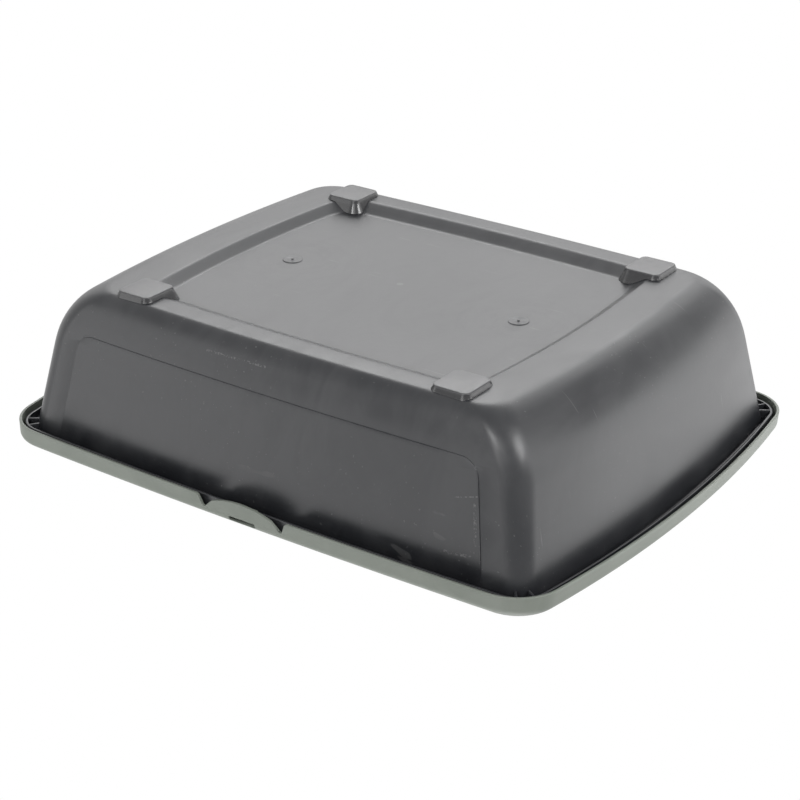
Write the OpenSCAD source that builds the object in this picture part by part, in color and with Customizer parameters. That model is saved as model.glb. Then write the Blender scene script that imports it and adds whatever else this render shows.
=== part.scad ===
// Open litter tray with a clip-on rim, in millimetres, standing as it is used.
// Origin: the middle of the plane that the feet stand on. +Z is up, X runs along the long side, the front is at -Y.

/* [Tray] */
// Outside length of the tray, just under its flange
tray_l = 432.6; // [418:0.1:438]
// Outside width of the tray, just under its flange
tray_w = 334.8; // [322:0.1:338]
// Height of the flange's top face above the ground
flange_top = 114.1; // [98:0.1:136]
// Wall thickness
tray_wall = 2.2; // [1.6:0.1:3]
// Floor thickness
floor_t = 2.2; // [1.6:0.1:3]
// Lean of the end walls, degrees from upright
end_draft = 11.3; // [6:0.1:14]
// Lean of the long walls, degrees from upright
side_draft = 10.2; // [6:0.1:14]
// Reach of the soft turn from end wall to floor
end_turn_w = 30; // [20:1:34]
// Height of the soft turn from end wall to floor
end_turn_h = 42.7; // [30:0.1:50]
// Reach of the turn from long wall to floor
side_turn_w = 14.5; // [10:0.5:18]
// Height of the turn from long wall to floor
side_turn_h = 32.8; // [20:0.1:45]
// Corner radius in plan at the ground
foot_corner_r = 19; // [14:1:26]
// Corner radius in plan at the flange
top_corner_r = 16; // [12:1:20]
// Outward bow of the end walls at the ground
foot_end_bow = 10; // [4:0.5:12]
// Outward bow of the end walls at the flange
top_end_bow = 12.4; // [8:0.1:14]
// Outward bow of the long walls at the ground
foot_side_bow = 5.3; // [2:0.1:7]
// Outward bow of the long walls at the flange
top_side_bow = 6; // [4:0.1:8]

/* [Underside] */
// Height of the bearing ridge above the ground
ridge_h = 3.6; // [2.8:0.1:4.4]
// Width of the ridge's flat face at the ends
ridge_end_w = 22.7; // [20:0.1:32]
// Width of the ridge's flat face along the long sides
ridge_side_w = 12.4; // [10:0.1:20]
// Depth of the recessed floor inside the ridge
recess_depth = 5.8; // [4:0.1:8]
// Run of the slope from floor to ridge at the ends
end_slope = 11; // [8:0.5:14]
// Run of the slope from floor to ridge at the long sides
side_slope = 16; // [12:0.5:18]
// Corner radius of the recessed floor
recess_r = 20; // [14:1:30]
// Corner radius where the slope meets the ridge
recess_edge_r = 25.5; // [18:0.5:36]
// Distance between the two moulding gates
gate_spacing = 190; // [120:1:220]
// Diameter of the round gate marks
gate_d = 16; // [10:0.5:20]
// Depth of the gate marks
gate_depth = 0.5; // [0.3:0.1:0.8]
// Diameter of the nib in each gate mark
nib_d = 3; // [2:0.5:5]

/* [Front panel] */
// Distance from the panel's lower corners to the line of the end wall
panel_margin = 38.1; // [34:0.1:70]
// Height of the panel's lower edge above the ground
panel_low = 30.9; // [26:0.1:40]
// Outward lean of the panel's ends, degrees from upright
panel_lean = 9.6; // [5:0.1:12]
// Corner radius of the panel
panel_r = 14; // [8:1:20]
// Rise of the panel above the wall
panel_rise = 0.8; // [0.5:0.1:1]

/* [Flange] */
// Flange thickness
flange_t = 2.2; // [1.6:0.1:3]
// Reach of the flange from the end wall to the outside of the turned-down lip
lip_end_reach = 8.7; // [8:0.1:9.6]
// Reach of the flange from the long wall to the outside of the turned-down lip
lip_side_reach = 6.2; // [5.6:0.1:7.2]
// Height of the lip, from its free edge to the flange's top face
lip_h = 10.1; // [8:0.1:12]
// Lip thickness
lip_t = 1.8; // [1.4:0.1:2]
// Corner radius of the lip
lip_r = 23; // [21:0.5:26]
// Outward bow of the lip at the ends
lip_end_bow = 15; // [13:0.1:16]
// Outward bow of the lip along the long sides
lip_side_bow = 5.4; // [5:0.1:7]
// Radius of the flange's outer edge
flange_round = 3.4; // [3:0.1:3.8]
// Radius where the flange meets the wall
flange_fillet = 1.6; // [1:0.1:1.8]
// Thickness of the corner ribs
rib_t = 1.6; // [1.2:0.1:2.4]
// Height of the ribs' free edge above the lip's free edge
rib_rise = 0.3; // [0.2:0.1:4]
// Angle of the rib nearer the end, from X
rib_low_angle = 32; // [25:1:40]
// Angle of the rib nearer the long side, from X
rib_high_angle = 61; // [50:1:68]

/* [Rim] */
// Reach of the skirt's free edge beyond the lip at the ends
skirt_end_reach = 6.2; // [6:0.1:16]
// Reach of the skirt's free edge beyond the lip along the long sides
skirt_side_reach = 5.7; // [5:0.1:12]
// Height of the skirt's plain band
band_h = 8.7; // [7.5:0.1:12]
// Height of the rounded edge above the band
edge_h = 6; // [5:0.1:7]
// Reach of the rounded edge
edge_w = 6; // [5.6:0.1:6.6]
// Share of the rim's width at which its crown lies
crown_share = 0.25; // [0.2:0.05:0.5]
// Rise of the crown above the rounded edge
crown_rise = 0.4; // [0.2:0.1:1]
// Rim thickness
rim_t = 2; // [1.8:0.1:2.4]
// Corner radius of the skirt's free edge
rim_r = 34.6; // [28:0.2:40]
// Corner radius at the top of the band
band_r = 29.8; // [25:0.1:36]
// Outward bow of the skirt at the ends
rim_end_bow = 16.8; // [16:0.1:20]
// Outward bow of the skirt along the long sides
rim_side_bow = 4.9; // [4:0.1:7]
// Inward lean of the band at the ends, over its height
band_end_taper = 1.3; // [0.5:0.1:2]
// Inward lean of the band along the long sides, over its height
band_side_taper = 1.1; // [0.4:0.1:1.5]
// Width of the rim from skirt to mouth at the ends
brim_end_w = 52.2; // [45:0.1:80]
// Width of the rim from skirt to mouth along the long sides
brim_side_w = 45.3; // [38:0.1:68]
// Corner radius of the mouth
mouth_r = 46; // [36:1:60]
// Outward bow of the mouth at the ends
mouth_end_bow = 8; // [4:0.5:12]
// Outward bow of the mouth along the long sides
mouth_side_bow = 4; // [2:0.5:6]
// Fall of the rim's top from the crown to the mouth
mouth_fall = 4.5; // [2:0.5:8]
// Height of the turned-down edge round the mouth
mouth_drop = 7; // [5:0.5:10]
// Radius of the turn into the mouth
mouth_round = 3; // [2.4:0.1:4]

/* [Clips] */
// Distance from the middle of a clip to the bottom of its notches
notch_x = 31.6; // [26:0.2:36]
// Depth of the notches beside a clip
notch_depth = 8.3; // [7:0.1:9]
// Radius at the bottom of a notch
notch_r = 1.8; // [1.4:0.1:2.4]
// Reach of a notch towards the clip, at the clip's curved edge
notch_in = 7; // [6:0.2:9]
// Reach of a notch away from the clip, at the free edge
notch_out = 4.6; // [3.5:0.1:6]
// Radius of the shoulder where a notch meets the free edge
shoulder_r = 3; // [2:0.5:5]
// Drop of the clip's crest below the skirt's free edge
crest_drop = 2.7; // [1:0.1:3]
// Radius of the clip's curved edge
crest_r = 66; // [60:1:90]
// Width of the window above the hook
window_w = 21.4; // [14:0.2:24]
// Height of the window
window_h = 3.2; // [2.4:0.1:3.6]
// Skin between the clip's root and the window
window_rise = 0.6; // [0.5:0.1:1.2]
// Height of the hook
hook_h = 3.2; // [2.6:0.1:3.6]

/* [Feet] */
// Distance of a foot's centre from the outer end of the ridge
foot_end_in = 36.3; // [34:0.1:45]
// Distance of a foot's centre from the outer long side of the ridge
foot_side_in = 15.8; // [14.4:0.1:24]
// Length of a foot's face
foot_l = 27.2; // [23:0.2:30]
// Width of a foot's face
foot_w = 29.2; // [24:0.2:31]
// Corner radius of a foot
foot_r = 4.5; // [3:0.1:6]
// Widening of a foot from its face to the tray, on each side
foot_flare = 4.4; // [3:0.1:5]
// Rounding of a foot's lower edge
foot_round = 0.4; // [0.3:0.1:1]

/* [Fits] */
// Gap between the rim's underside and the flange
seat_gap = 0.3; // [0.2:0.05:0.5]
// Gap between a foot and the tray
foot_gap = 0.15; // [0.1:0.05:0.3]
// Gap at the root of a clip
root_gap = 0.35; // [0.3:0.05:0.5]
// Gap between the clip's hook and the lip
hook_gap = 0.4; // [0.3:0.05:0.6]

/* [Hidden] */
tray_colour = "#2b2b2f";
rim_colour = "#878d84";
foot_colour = "#202024";

// Steps along a quarter outline: the end, the corner and the long side.
end_steps = 5;
corner_steps = 9;
side_steps = 6;
// Steps of a turn from wall to floor, of the slope round the recess and of a small round.
turn_steps = 7;
slope_steps = 4;
round_steps = 4;
top_steps = 4;
// Facets of a rib's edge, of a foot's corner and of the circle that a clip's crest is cut from.
rib_facets = 16;
foot_facets = 24;
crest_facets = 180;
$fn = 32;
eps = 0.01;
// How far the cutting shapes reach past the skirt.
overcut = 12;

flange_under = flange_top - flange_t;
recess_h = ridge_h + recess_depth;
lip_edge = flange_top - lip_h;
crown_z = flange_top + seat_gap + rim_t + crown_rise;
edge_top = crown_z - crown_rise;
band_top = edge_top - edge_h;
skirt_edge = band_top - band_h;
root_z = skirt_edge + notch_depth;
crest_z = skirt_edge - crest_drop;
mouth_z = crown_z - mouth_fall;

lip_l = tray_l + 2 * lip_end_reach;
lip_w = tray_w + 2 * lip_side_reach;
rim_l = lip_l + 2 * skirt_end_reach;
rim_w = lip_w + 2 * skirt_side_reach;
mouth_l = rim_l - 2 * brim_end_w;
mouth_w = rim_w - 2 * brim_side_w;

// An outline is [half length, half width, end arc radius, side arc radius, corner radius].
function outline(l, w, end_bow, side_bow, r) =
    [l / 2, w / 2, w * w / 8 / end_bow, l * l / 8 / side_bow, r];
function inset(o, d) = o - [d, d, d, d, d];
function mix(a, b, t) = a + (b - a) * t;

// The corner arc touches both side arcs from inside, so its centre is where two circles meet.
function corner_centre(o) = let(
    side_c = [0, o[1] - o[3]],
    end_c = [o[0] - o[2], 0],
    gap = norm(end_c - side_c),
    u = (end_c - side_c) / gap,
    a = o[3] - o[4],
    b = o[2] - o[4],
    k = (gap * gap + a * a - b * b) / (2 * gap),
    h = sqrt(a * a - k * k))
    side_c + u * k + [u[1], -u[0]] * h;

function on_arc(c, r, angle) = c + r * [cos(angle), sin(angle)];

// A quarter of the outline, from the middle of the end to the middle of the long side.
function quarter(o) = let(
    c = corner_centre(o),
    side_c = [0, o[1] - o[3]],
    end_c = [o[0] - o[2], 0],
    a_end = atan2(c[1], c[0] - end_c[0]),
    a_side = atan2(c[1] - side_c[1], c[0]))
    concat(
        [for (i = [0:end_steps - 1]) on_arc(end_c, o[2], a_end * i / end_steps)],
        [for (i = [0:corner_steps - 1]) on_arc(c, o[4], mix(a_end, a_side, i / corner_steps))],
        [for (i = [0:side_steps]) on_arc(side_c, o[3], mix(a_side, 90, i / side_steps))]);

quarter_n = end_steps + corner_steps + side_steps;
ring_n = 4 * quarter_n;

function ring(o, z) = let(q = quarter(o), n = quarter_n) concat(
    [for (i = [0:n - 1]) [q[i][0], q[i][1], z]],
    [for (i = [n:-1:1]) [-q[i][0], q[i][1], z]],
    [for (i = [0:n - 1]) [-q[i][0], -q[i][1], z]],
    [for (i = [n:-1:1]) [q[i][0], -q[i][1], z]]);

// Two triangles for each step of each strip between neighbouring rings of n points.
function strips(count, n, closed) = let(last = closed ? count : count - 1) [
    for (k = [0:last - 1]) for (i = [0:n - 1]) let(
        k2 = (k + 1) % count,
        j = (i + 1) % n)
        for (f = [[k * n + i, k2 * n + i, k2 * n + j], [k * n + i, k2 * n + j, k * n + j]]) f];

function caps(count, n) = [
    [for (i = [0:n - 1]) i],
    [for (i = [n - 1:-1:0]) (count - 1) * n + i]];

// A solid through a list of [outline, height], closed by a flat face at each end.
module loft(sections) {
    points = [for (s = sections) for (p = ring(s[0], s[1])) p];
    polyhedron(points, concat(strips(len(sections), ring_n, false), caps(len(sections), ring_n)));
}

// A ring-shaped solid whose cross-section is the closed loop of sections.
module loop_loft(sections) {
    points = [for (s = sections) for (p = ring(s[0], s[1])) p];
    polyhedron(points, strips(len(sections), ring_n, true));
}

// How far a turn of reach w and height h still holds the wall in at height z.
function turn_in(z, base, w, h) = let(v = 1 - min(1, max(0, (z - base) / h)))
    w * (1 - sqrt(1 - v * v));

// The tray's wall at height z: skin is 0 outside and the wall's thickness inside.
function wall(z, skin = 0, base = ridge_h) = let(
    t = (z - ridge_h) / (flange_under - ridge_h),
    half_l = tray_l / 2 - (flange_under - z) * tan(end_draft),
    half_w = tray_w / 2 - (flange_under - z) * tan(side_draft),
    plan = outline(2 * half_l, 2 * half_w, mix(foot_end_bow, top_end_bow, t),
        mix(foot_side_bow, top_side_bow, t), mix(foot_corner_r, top_corner_r, t)),
    in_l = turn_in(z, base, end_turn_w - skin, end_turn_h - skin),
    in_w = turn_in(z, base, side_turn_w - skin, side_turn_h - skin))
    inset(plan, skin) - [in_l, in_w, 0, 0, 0];

turn_h = max(end_turn_h, side_turn_h);
function turn_z(i, base, skin) = base + (turn_h - skin) * (1 - cos(90 * i / turn_steps));

// The ridge's outer edge on the ground side, and what lies inside it.
ground = wall(ridge_h);
feet_x = 2 * (ground[0] - foot_end_in);
feet_y = 2 * (ground[1] - foot_side_in);
recess_l = 2 * (ground[0] - ridge_end_w - end_slope);
recess_w = 2 * (ground[1] - ridge_side_w - side_slope);

// The slope between recessed floor and ridge, at a share t of its run.
recess_floor = outline(recess_l, recess_w, foot_end_bow * recess_w / tray_w,
    foot_side_bow * recess_l / tray_l, recess_r);
recess_edge = recess_floor + [end_slope, side_slope, side_slope, end_slope, recess_edge_r - recess_r];
function slope(t) = mix(recess_floor, recess_edge, t);
function slope_z(t) = recess_h - recess_depth * (1 - cos(180 * t)) / 2;

lip = outline(lip_l, lip_w, lip_end_bow, lip_side_bow, lip_r);

function tray_sections() = concat(
    [for (i = [0:slope_steps]) [slope(i / slope_steps), slope_z(i / slope_steps)]],
    [for (i = [0:turn_steps]) let(z = turn_z(i, ridge_h, 0)) [wall(z), z]],
    [for (a = [0:45:90]) [
        inset(wall(flange_under - flange_fillet), -flange_fillet * (1 - cos(a))),
        flange_under - flange_fillet * (1 - sin(a))]],
    [[inset(lip, lip_t), flange_under]],
    [[inset(lip, lip_t), lip_edge]],
    [[lip, lip_edge]],
    [for (a = [0:45:90]) [
        inset(lip, flange_round * (1 - cos(a))),
        flange_top - flange_round * (1 - sin(a))]],
    [[wall(flange_top, tray_wall), flange_top]],
    [for (i = [turn_steps:-1:0]) let(z = turn_z(i, ridge_h + floor_t, tray_wall))
        [wall(z, tray_wall, ridge_h + floor_t), z]],
    [for (i = [slope_steps:-1:0]) [slope(i / slope_steps), slope_z(i / slope_steps) + floor_t]]);

// The wall grown or shrunk by d, over the heights where the panel lies.
module wall_shell(d) {
    loft(concat(
        [for (i = [1:turn_steps]) let(z = turn_z(i, ridge_h, 0)) [inset(wall(z), d), z]],
        [[inset(wall(flange_under), d), flange_under]]));
}

// The panel's outline, seen from the front: rounded lower corners, open at the top.
module panel_outline() {
    top = flange_under - flange_fillet - panel_rise;
    low_x = tray_l / 2 - (flange_under - panel_low) * tan(end_draft) - panel_margin;
    top_x = low_x + (top - panel_low) * tan(panel_lean);
    intersection() {
        offset(r = panel_r) offset(delta = -panel_r)
            polygon([[-low_x, panel_low], [low_x, panel_low],
                [top_x + panel_r, top + panel_r / tan(panel_lean)],
                [-top_x - panel_r, top + panel_r / tan(panel_lean)]]);
        translate([-tray_l, 0]) square([2 * tray_l, top]);
    }
}

module panel() {
    intersection() {
        translate([0, -tray_w / 4, 0]) rotate([90, 0, 0])
            linear_extrude(tray_w / 2) panel_outline();
        difference() {
            wall_shell(-panel_rise);
            wall_shell(tray_wall / 2);
        }
    }
}

// A stiffening rib under the flange, across the corner channel from wall to lip.
module corner_rib(angle) {
    low = lip_edge + rib_rise;
    wall_o = wall(low);
    from = on_arc(corner_centre(wall_o), wall_o[4] - rib_t / 2, angle);
    to = on_arc(corner_centre(lip), lip_r - lip_t, angle);
    hull() for (p = [from, to])
        translate([p[0], p[1], low])
            cylinder(d = rib_t, h = flange_top - low - eps, $fn = rib_facets);
}

// What a gate mark takes out of the floor's underside: a shallow dip round a nib.
module gate_mark() {
    difference() {
        translate([0, 0, -gate_depth]) cylinder(d = gate_d, h = 2 * gate_depth);
        cylinder(d = nib_d, h = 2 * gate_depth);
    }
}

module tray() {
    color(tray_colour) union() {
        difference() {
            tray_shell();
            for (s = [-1, 1])
                translate([s * gate_spacing / 2, 0, recess_h]) gate_mark();
        }
        panel();
        for (sx = [0, 1], sy = [0, 1], angle = [rib_low_angle, rib_high_angle])
            mirror([sx, 0, 0]) mirror([0, sy, 0]) corner_rib(angle);
    }
}

module tray_shell() {
    loft(tray_sections());
}

skirt = outline(rim_l, rim_w, rim_end_bow, rim_side_bow, rim_r);
band = [skirt[0] - band_end_taper, skirt[1] - band_side_taper, skirt[2], skirt[3], band_r];
mouth = outline(mouth_l, mouth_w, mouth_end_bow, mouth_side_bow, mouth_r);

// The rim's top between the rounded edge and the mouth, at a share t of its width.
function brim(t, d) = mix(inset(band, edge_w), inset(mouth, -mouth_round), t);
function brim_z(t) = crown_z - crown_rise * pow(1 - min(1, t / crown_share), 2)
    - (mouth_fall - mouth_round) * pow(max(0, (t - crown_share) / (1 - crown_share)), 2);

function rim_sections() = concat(
    [[skirt, skirt_edge]],
    [for (i = [0:round_steps]) let(a = 90 * i / round_steps)
        [inset(band, edge_w * (1 - cos(a))), band_top + edge_h * sin(a)]],
    [for (i = [1:top_steps]) let(t = i / top_steps) [brim(t), brim_z(t)]],
    [for (a = [45, 90])
        [inset(mouth, -mouth_round * (1 - sin(a))), mouth_z + mouth_round * cos(a)]],
    [[mouth, mouth_z - mouth_drop]],
    [[inset(mouth, -rim_t), mouth_z - mouth_drop]],
    [[inset(mouth, -rim_t), mouth_z]],
    [for (i = [top_steps:-1:1]) let(t = i / top_steps) [brim(t), brim_z(t) - rim_t]],
    [for (i = [round_steps:-1:0]) let(a = 90 * i / round_steps)
        [inset(band, edge_w - (edge_w - rim_t) * cos(a)), band_top + (edge_h - rim_t) * sin(a)]],
    [[inset(skirt, rim_t), skirt_edge]]);

// The notch at each side of a clip, seen from the front: a V with a round bottom.
module notches() {
    clip_end = notch_x - notch_in;
    clip_end_z = crest_z + crest_r - sqrt(crest_r * crest_r - clip_end * clip_end);
    for (s = [-1, 1]) scale([s, 1]) hull() {
        translate([notch_x, root_z - notch_r]) circle(r = notch_r);
        polygon([[clip_end, clip_end_z], [clip_end, crest_z - eps],
            [notch_x + notch_out, crest_z - eps], [notch_x + notch_out, skirt_edge]]);
    }
}

// The notches and the space below the free edge, with rounded shoulders between them.
module notch_outline() {
    offset(r = -shoulder_r) offset(delta = shoulder_r) union() {
        notches();
        translate([-2 * notch_x, skirt_edge - overcut]) square([4 * notch_x, overcut - eps]);
    }
}

module clip_zone() {
    translate([-notch_x, skirt_edge - overcut]) square([2 * notch_x, overcut + notch_depth]);
}

// The clip: a tab with a curved edge between the two notches.
module clip_outline() {
    difference() {
        intersection() {
            translate([0, crest_z + crest_r]) circle(r = crest_r, $fn = crest_facets);
            translate([-notch_x, crest_z]) square([2 * notch_x, root_z - crest_z - root_gap]);
        }
        notches();
    }
}

// Stands a front view outline up across the front skirt.
module across_front(depth = overcut) {
    translate([0, -rim_w / 2 + depth, 0]) rotate([90, 0, 0]) linear_extrude(2 * depth) children();
}

module rim() {
    color(rim_colour) difference() {
        loop_loft(rim_sections());
        for (side = [0, 1]) mirror([0, side, 0]) {
            across_front() union() {
                notch_outline();
                clip_zone();
            }
            translate([-window_w / 2, -rim_w / 2 - rim_t, root_z + window_rise])
                cube([window_w, edge_w + rim_t, window_h]);
        }
    }
}

// The skirt's plain band carried below its free edge, for the clips to be cut from.
module skirt_band() {
    low = skirt_edge - 2 * crest_drop;
    t = (skirt_edge - low) / band_h;
    grown = mix(skirt, band, -t);
    loop_loft([[grown, low], [band, band_top], [inset(band, rim_t), band_top],
        [inset(grown, rim_t), low]]);
}

module clip() {
    lip_y = lip_w / 2 + hook_gap;
    skirt_y = rim_w / 2 - rim_t / 2;
    union() {
        intersection() {
            skirt_band();
            across_front() clip_outline();
        }
        translate([-window_w / 2, -skirt_y, lip_edge - hook_gap])
            rotate([0, 90, 0]) linear_extrude(window_w)
                polygon([[0, 0], [0, skirt_y - lip_y], [hook_h / 2, skirt_y - lip_y], [hook_h, 0]]);
    }
}

module front_clip() {
    color(rim_colour) clip();
}

module rear_clip() {
    color(rim_colour) mirror([0, 1, 0]) clip();
}

// One level of a foot: a rounded rectangle grown by d.
module foot_level(d, z) {
    for (sx = [-1, 1], sy = [-1, 1])
        translate([sx * (foot_l / 2 - foot_r), sy * (foot_w / 2 - foot_r), z])
            cylinder(r = foot_r + d, h = eps, $fn = foot_facets);
}

module foot_block() {
    translate([feet_x / 2, feet_y / 2, 0]) hull() {
        for (a = [0:45:90])
            foot_level(-foot_round * (1 - sin(a)), foot_round * (1 - cos(a)));
        foot_level(foot_flare, recess_h);
    }
}

// A quarter of the hollow inside the ridge, which the foot's inner part fills.
module recess_quarter() {
    n = quarter_n + 2;
    levels = concat([[slope(1), 0]],
        [for (i = [slope_steps:-1:0]) [slope(i / slope_steps), slope_z(i / slope_steps) - foot_gap]]);
    points = [for (s = levels) for (p = concat([[0, 0]], quarter(inset(s[0], foot_gap))))
        [p[0], p[1], s[1]]];
    polyhedron(points, concat(strips(len(levels), n, false), caps(len(levels), n)));
}

// A foot fills the space under the ridge and the corner of the hollow inside it.
module foot() {
    intersection() {
        foot_block();
        union() {
            cube([tray_l, tray_w, ridge_h - foot_gap]);
            recess_quarter();
        }
    }
}

module foot_front_left() {
    color(foot_colour) mirror([1, 0, 0]) mirror([0, 1, 0]) foot();
}

module foot_front_right() {
    color(foot_colour) mirror([0, 1, 0]) foot();
}

module foot_rear_left() {
    color(foot_colour) mirror([1, 0, 0]) foot();
}

module foot_rear_right() {
    color(foot_colour) foot();
}

tray();
rim();
front_clip();
rear_clip();
foot_front_left();
foot_front_right();
foot_rear_left();
foot_rear_right();
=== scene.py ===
"""Open litter tray with a clip-on rim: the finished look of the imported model, in the model's own frame.

The tray stands as it is used. The main camera looks up at it from below, rolled by half a turn.
"""

import logging
import math
from collections.abc import Callable
from dataclasses import dataclass
from enum import Enum

import bmesh
import bpy
from mathutils import Matrix, Vector


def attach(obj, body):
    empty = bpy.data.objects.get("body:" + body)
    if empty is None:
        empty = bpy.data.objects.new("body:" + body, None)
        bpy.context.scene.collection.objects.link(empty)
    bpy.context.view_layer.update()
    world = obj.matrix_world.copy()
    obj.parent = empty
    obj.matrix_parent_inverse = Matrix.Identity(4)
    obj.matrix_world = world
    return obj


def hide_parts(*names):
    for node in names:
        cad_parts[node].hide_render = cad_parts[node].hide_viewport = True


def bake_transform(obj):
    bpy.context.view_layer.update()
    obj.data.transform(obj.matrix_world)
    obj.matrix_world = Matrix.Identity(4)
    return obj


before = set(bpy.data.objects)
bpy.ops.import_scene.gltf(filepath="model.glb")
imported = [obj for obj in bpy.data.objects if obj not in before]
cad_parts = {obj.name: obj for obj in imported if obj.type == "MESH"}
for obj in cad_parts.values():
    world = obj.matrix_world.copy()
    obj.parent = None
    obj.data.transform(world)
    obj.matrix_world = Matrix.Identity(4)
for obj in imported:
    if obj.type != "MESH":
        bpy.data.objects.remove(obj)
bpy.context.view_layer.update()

log = logging.getLogger("litter_tray")

MM = 0.001
SEED = 0.0001
WELD = 0.00001
SHARP = math.radians(32)


@dataclass(frozen=True)
class Outline:
    """A rounded rectangle with bowed sides, in millimetres, whose arcs run into each other.

    half_l and half_w reach from the middle to the end and to the long side, and the three radii are
    those of the end arc, the long side's arc and the corner arc.
    """

    half_l: float
    half_w: float
    end_r: float
    side_r: float
    corner_r: float

    @classmethod
    def bowed(cls, length: float, width: float, end_bow: float, side_bow: float,
              corner_r: float) -> "Outline":
        """Return the outline of a given size whose sides bow outwards."""
        return cls(length / 2, width / 2, width ** 2 / 8 / end_bow, length ** 2 / 8 / side_bow, corner_r)

    def inset(self, depth: float) -> "Outline":
        """Return the outline moved inwards by depth all round."""
        return Outline(self.half_l - depth, self.half_w - depth, self.end_r - depth, self.side_r - depth,
                       self.corner_r - depth)

    def drawn_in(self, ends: float, sides: float) -> "Outline":
        """Return the outline with its ends and its long sides brought inwards."""
        return Outline(self.half_l - ends, self.half_w - sides, self.end_r, self.side_r, self.corner_r)

    def mixed(self, other: "Outline", share: float) -> "Outline":
        """Return the outline part of the way to another.

        Args:
            other: the outline at a share of 1.
            share: how far along it is, from 0 to 1.

        Returns:
            The outline between the two.
        """
        return Outline(mix(self.half_l, other.half_l, share), mix(self.half_w, other.half_w, share),
                       mix(self.end_r, other.end_r, share), mix(self.side_r, other.side_r, share),
                       mix(self.corner_r, other.corner_r, share))

    def corner(self) -> tuple[Vector, float, float]:
        """Find the corner arc.

        Returns:
            Its centre, and the directions in which the end arc and the corner arc stop, in radians.
        """
        side_c = Vector((0, self.half_w - self.side_r))
        end_c = Vector((self.half_l - self.end_r, 0))
        gap = (end_c - side_c).length
        along = (end_c - side_c) / gap
        a = self.side_r - self.corner_r
        b = self.end_r - self.corner_r
        k = (gap * gap + a * a - b * b) / (2 * gap)
        centre = side_c + along * k + Vector((along.y, -along.x)) * math.sqrt(a * a - k * k)
        return centre, math.atan2(centre.y, centre.x - end_c.x), math.atan2(centre.y - side_c.y, centre.x)


Section = tuple[Outline, float]


def mix(a: float, b: float, share: float) -> float:
    """Return the value at a share of the way from a to b."""
    return a + (b - a) * share


def turn_in(z: float, base: float, reach: float, height: float) -> float:
    """Return how far a turn that stands on base still holds the wall in at height z."""
    rest = 1 - min(1.0, max(0.0, (z - base) / height))
    return reach * (1 - math.sqrt(1 - rest * rest))


def shares(steps: int) -> list[float]:
    """Return the shares 0 to 1 in a number of equal steps."""
    return [i / steps for i in range(steps + 1)]


def quarter_angles(steps: int) -> list[float]:
    """Return the angles from 0 to a right angle, in radians, in a number of equal steps."""
    return [math.pi / 2 * share for share in shares(steps)]


def rounded(outline: Outline, z: float, depth: float, rise: float, steps: int,
            level_first: bool) -> list[Section]:
    """Return the outlines round a quarter turn that would end, unrounded, in an edge on an outline.

    Args:
        outline: the edge's outline.
        z: the edge's height.
        depth: how far inwards the turn reaches from the edge, less than 0 for outwards.
        rise: how far up it reaches from the edge, less than 0 for down.
        steps: the number of steps.
        level_first: whether it sets off from the level face and ends on the upright one.

    Returns:
        The outlines and their heights.
    """
    turns = [(1 - math.sin(a), 1 - math.cos(a)) for a in quarter_angles(steps)]
    if not level_first:
        turns = [(upright, level) for level, upright in turns]
    return [(outline.inset(depth * level), z + rise * upright) for level, upright in turns]


class Pick(Enum):
    """What is selected in edit mode."""

    POINTS = (True, False, False)
    EDGES = (False, True, False)


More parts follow.
